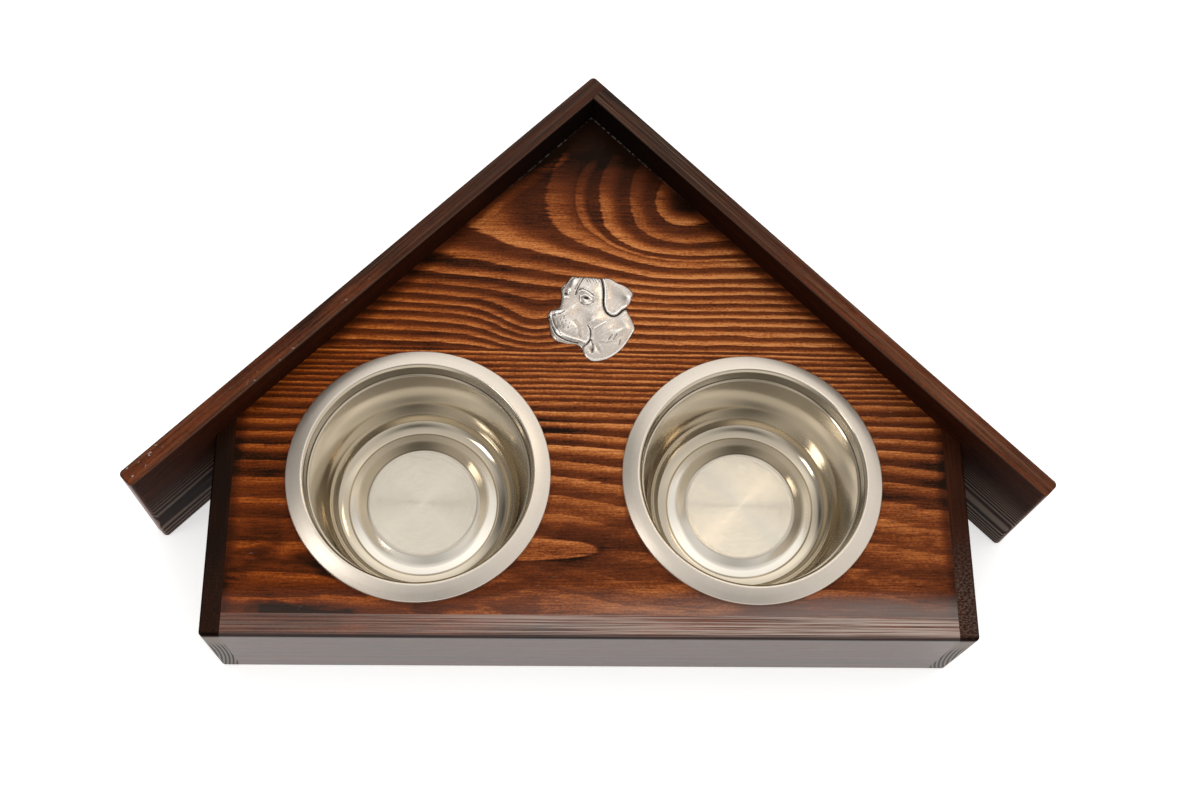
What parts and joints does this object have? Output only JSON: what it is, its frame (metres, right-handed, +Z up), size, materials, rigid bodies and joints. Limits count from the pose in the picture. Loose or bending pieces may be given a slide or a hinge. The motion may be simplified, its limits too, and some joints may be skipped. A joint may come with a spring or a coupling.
{
  "type": "dog bowl stand",
  "caption": "Low wooden feeding stand in the outline of a house, with a raised roof edge, lift-out steel bowls set in the panel and a cast dog's-head badge.",
  "frame": {"origin": "floor level under the middle of the bounding box", "axes": "+X to the right along the front, +Y from the front edge to the ridge, +Z up"},
  "size_m": [0.5562, 0.3688, 0.104],
  "materials": {
    "stained_pine": "dark stain, gloss lacquer",
    "plain_pine": "planed, oiled",
    "beech": "plain",
    "zinc_screws": "zinc plated",
    "stainless": "satin rim, polished wall",
    "pewter": "antiqued cast pewter"
  },
  "bodies": {
    "stand": {"front_board": "stained_pine", "left_side_board": "stained_pine", "right_side_board": "stained_pine", "left_roof_board": "stained_pine", "right_roof_board": "stained_pine", "panel_front_board": "stained_pine", "panel_rear_board": "stained_pine", "front_batten": "plain_pine", "left_side_batten": "plain_pine", "right_side_batten": "plain_pine", "left_roof_batten": "plain_pine", "right_roof_batten": "plain_pine", "corner_dowels": "beech", "ridge_dowels": "beech", "panel_screws": "zinc_screws", "dog_badge": "pewter"},
    "left_bowl": {"left_bowl": "stainless"},
    "right_bowl": {"right_bowl": "stainless"}
  },
  "joints": [
    {"name": "left_bowl_lift", "type": "slide", "parent": "stand", "child": "left_bowl", "axis": [0, 0, 1], "range_m": [0, 0.1]},
    {"name": "right_bowl_lift", "type": "slide", "parent": "stand", "child": "right_bowl", "axis": [0, 0, 1], "range_m": [0, 0.1]}
  ]
}
